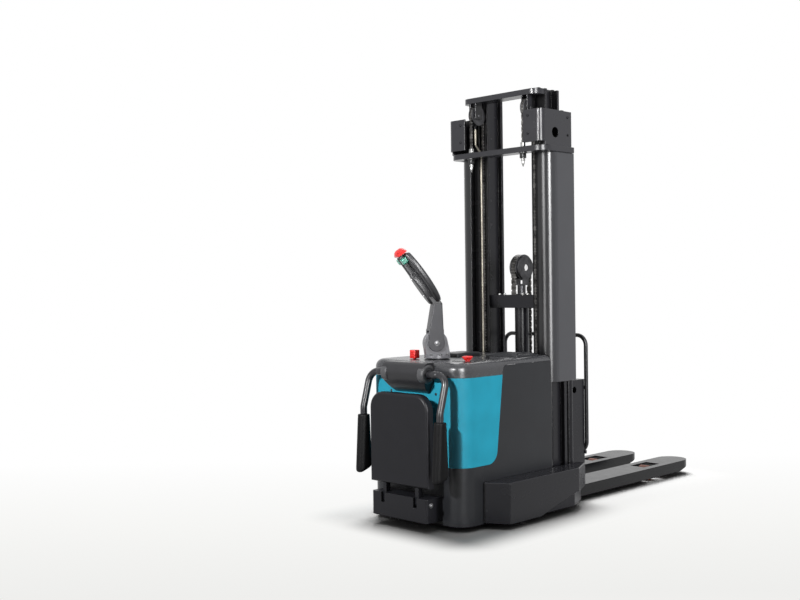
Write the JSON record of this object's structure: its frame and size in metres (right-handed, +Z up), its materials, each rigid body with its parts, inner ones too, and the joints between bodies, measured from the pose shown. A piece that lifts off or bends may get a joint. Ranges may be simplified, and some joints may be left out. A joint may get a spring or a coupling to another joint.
{
  "type": "stand-on electric stacker",
  "caption": "Stand-on electric pallet stacker with telescopic mast, chain-lifted forks, fold-down platform, side arms and a steering tiller.",
  "frame": {"origin": "on the floor, in the middle of the truck's length and width", "axes": "+X to the truck's right seen by the operator facing the forks, +Y along the forks towards their tips, +Z up"},
  "size_m": [0.838, 2.25, 2.165],
  "materials": {
    "frame_paint": "satin",
    "panel_grey": "matte",
    "cover_teal": "satin",
    "trim_black": "matte",
    "foam_black": "matte",
    "mat_rubber": "matte",
    "polyurethane": "satin",
    "drive_tread": "satin",
    "bright_steel": "satin",
    "chain_steel": "oiled",
    "rod_chrome": "polished",
    "sheave_iron": "machined",
    "gear_iron": "painted",
    "pipe_zinc": "satin",
    "battery_case": "matte",
    "unit_alloy": "cast",
    "platform_alloy": "painted",
    "button_red": "gloss",
    "button_green": "gloss",
    "button_grey": "satin"
  },
  "bodies": {
    "chassis": {"chassis": "frame_paint", "support_legs": "frame_paint", "apron": "panel_grey", "drive_cover": "cover_teal", "side_panels": "panel_grey", "hood": "panel_grey", "battery": "battery_case", "controller": "unit_alloy", "pump_unit": "unit_alloy", "steer_bearing": "bright_steel", "arm_housing": "panel_grey", "platform_bracket": "frame_paint", "pivot_pins": "bright_steel", "outer_rails": "frame_paint", "outer_crossbar": "frame_paint", "mast_covers": "frame_paint", "lifting_boxes": "frame_paint", "side_cylinders": "frame_paint", "hydraulic_line": "pipe_zinc", "panel_screws": "frame_paint", "mast_chain_fixed": "chain_steel"},
    "steering": {"tiller_base": "frame_paint", "drive_unit": "gear_iron"},
    "drive_wheel": {"drive_wheel": "drive_tread"},
    "tiller": {"tiller_arm": "trim_black", "tiller_head": "trim_black"},
    "belly_button": {"belly_button": "button_red"},
    "butterfly_switch": {"butterfly_switch": "button_green"},
    "lift_rocker": {"lift_rocker": "button_grey"},
    "emergency_stop": {"emergency_stop": "button_red"},
    "battery_switch": {"battery_switch": "button_red"},
    "key_switch": {"key_switch": "trim_black"},
    "platform": {"platform": "platform_alloy", "platform_mat": "mat_rubber"},
    "arm_left": {"arm_left": "frame_paint", "arm_pad_left": "foam_black"},
    "arm_right": {"arm_right": "frame_paint", "arm_pad_right": "foam_black"},
    "middle_mast": {"middle_rails": "frame_paint", "top_crossbar": "frame_paint", "side_rods": "rod_chrome"},
    "mast_sheave_left": {"mast_sheave_left": "sheave_iron"},
    "mast_sheave_right": {"mast_sheave_right": "sheave_iron"},
    "inner_mast": {"inner_rails": "frame_paint", "cylinder_crossbar": "frame_paint", "lift_cylinder": "frame_paint", "mast_chain_running": "chain_steel", "lift_chain_fixed": "chain_steel"},
    "lift_rod": {"lift_rod": "sheave_iron"},
    "lift_sheave": {"lift_sheave": "sheave_iron"},
    "carriage": {"carriage_frame": "frame_paint", "forks": "frame_paint", "load_backrest": "frame_paint", "lift_chain_running": "chain_steel"},
    "castor_left": {"castor_fork_left": "bright_steel"},
    "castor_right": {"castor_fork_right": "bright_steel"},
    "castor_wheel_left": {"castor_wheel_left": "mat_rubber"},
    "castor_wheel_right": {"castor_wheel_right": "mat_rubber"},
    "load_wheel_left": {"load_wheel_left": "polyurethane"},
    "load_wheel_right": {"load_wheel_right": "polyurethane"}
  },
  "joints": [
    {"name": "steer", "type": "hinge", "parent": "chassis", "child": "steering", "pos_m": [0, -0.818, 0.3], "axis": [0, 0, 1], "range_deg": [-60, 120]},
    {"name": "drive_spin", "type": "hinge", "parent": "steering", "child": "drive_wheel", "pos_m": [0, -0.818, 0.115], "axis": [0.866, -0.5, 0], "continuous": true},
    {"name": "tiller_tilt", "type": "hinge", "parent": "steering", "child": "tiller", "pos_m": [-0.005, -0.82666, 0.87], "axis": [0.866, -0.5, 0], "range_deg": [0, 75], "stiffness_Nm_per_rad": 30, "springref_deg": -45.84},
    {"name": "belly_press", "type": "slide", "parent": "tiller", "child": "belly_button", "axis": [0.2939, 0.509, -0.809], "range_m": [0, 0.006], "stiffness_N_per_m": 800, "springref_m": -0.004},
    {"name": "butterfly_turn", "type": "hinge", "parent": "tiller", "child": "butterfly_switch", "pos_m": [-0.0761, -0.94981, 1.28712], "axis": [0.866, -0.5, 0], "range_deg": [-15, 15], "stiffness_Nm_per_rad": 0.8},
    {"name": "lift_rocker_tilt", "type": "hinge", "parent": "tiller", "child": "lift_rocker", "pos_m": [-0.04856, -0.90211, 1.23938], "axis": [0.866, -0.5, 0], "range_deg": [-8, 8], "stiffness_Nm_per_rad": 0.5},
    {"name": "stop_press", "type": "slide", "parent": "chassis", "child": "emergency_stop", "axis": [0, 0, -1], "range_m": [0, 0.006], "stiffness_N_per_m": 900, "springref_m": -0.004},
    {"name": "battery_pull", "type": "slide", "parent": "chassis", "child": "battery_switch", "axis": [0, 0, 1], "range_m": [0, 0.025]},
    {"name": "key_turn", "type": "hinge", "parent": "chassis", "child": "key_switch", "pos_m": [0.25, -0.73, 0.8], "axis": [0, 0, 1], "range_deg": [0, 90]},
    {"name": "platform_fold", "type": "hinge", "parent": "chassis", "child": "platform", "pos_m": [0, -1.071, 0.13], "axis": [1, 0, 0], "range_deg": [0, 90], "stiffness_Nm_per_rad": 34, "springref_deg": -11.46},
    {"name": "arm_left_swing", "type": "hinge", "parent": "chassis", "child": "arm_left", "pos_m": [-0.257, -1.028, 0.735], "axis": [-1, 0, 0], "range_deg": [0, 90]},
    {"name": "arm_right_swing", "type": "hinge", "parent": "chassis", "child": "arm_right", "pos_m": [0.257, -1.028, 0.735], "axis": [-1, 0, 0], "range_deg": [0, 90]},
    {"name": "castor_left_swivel", "type": "hinge", "parent": "chassis", "child": "castor_left", "pos_m": [-0.345, -0.635, 0.15], "axis": [0, 0, 1], "continuous": true},
    {"name": "castor_right_swivel", "type": "hinge", "parent": "chassis", "child": "castor_right", "pos_m": [0.345, -0.635, 0.15], "axis": [0, 0, 1], "continuous": true},
    {"name": "castor_left_spin", "type": "hinge", "parent": "castor_left", "child": "castor_wheel_left", "pos_m": [-0.345, -0.615, 0.04], "axis": [1, 0, 0], "continuous": true},
    {"name": "castor_right_spin", "type": "hinge", "parent": "castor_right", "child": "castor_wheel_right", "pos_m": [0.345, -0.615, 0.04], "axis": [1, 0, 0], "continuous": true},
    {"name": "load_left_spin", "type": "hinge", "parent": "chassis", "child": "load_wheel_left", "pos_m": [-0.18, 0.75, 0.041], "axis": [1, 0, 0], "continuous": true},
    {"name": "load_right_spin", "type": "hinge", "parent": "chassis", "child": "load_wheel_right", "pos_m": [0.18, 0.75, 0.041], "axis": [1, 0, 0], "continuous": true},
    {"name": "middle_lift", "type": "slide", "parent": "chassis", "child": "middle_mast", "axis": [0, 0, 1], "range_m": [0, 1.5], "deforming": ["mast_chain_fixed"]},
    {"name": "inner_lift", "type": "slide", "parent": "middle_mast", "child": "inner_mast", "axis": [0, 0, 1], "range_m": [0, 1.5], "deforming": ["mast_chain_running"]},
    {"name": "carriage_lift", "type": "slide", "parent": "inner_mast", "child": "carriage", "axis": [0, 0, 1], "range_m": [0, 1.5], "deforming": ["lift_chain_running"]},
    {"name": "rod_lift", "type": "slide", "parent": "inner_mast", "child": "lift_rod", "axis": [0, 0, 1], "range_m": [0, 0.75], "deforming": ["lift_chain_fixed"]},
    {"name": "lift_sheave_spin", "type": "hinge", "parent": "lift_rod", "child": "lift_sheave", "pos_m": [0, -0.153, 1.24], "axis": [1, 0, 0], "continuous": true},
    {"name": "mast_sheave_left_spin", "type": "hinge", "parent": "middle_mast", "child": "mast_sheave_left", "pos_m": [-0.175, -0.3, 2.055], "axis": [1, 0, 0], "continuous": true},
    {"name": "mast_sheave_right_spin", "type": "hinge", "parent": "middle_mast", "child": "mast_sheave_right", "pos_m": [0.175, -0.3, 2.055], "axis": [1, 0, 0], "continuous": true}
  ],
  "couplings": [
    {"joint": "inner_lift", "follows": "middle_lift", "ratio": 1},
    {"joint": "rod_lift", "follows": "carriage_lift", "ratio": 0.5},
    {"joint": "lift_sheave_spin", "follows": "carriage_lift", "rad_per_m": 7.6923},
    {"joint": "mast_sheave_left_spin", "follows": "middle_lift", "rad_per_m": 21.277},
    {"joint": "mast_sheave_right_spin", "follows": "middle_lift", "rad_per_m": 21.277}
  ]
}
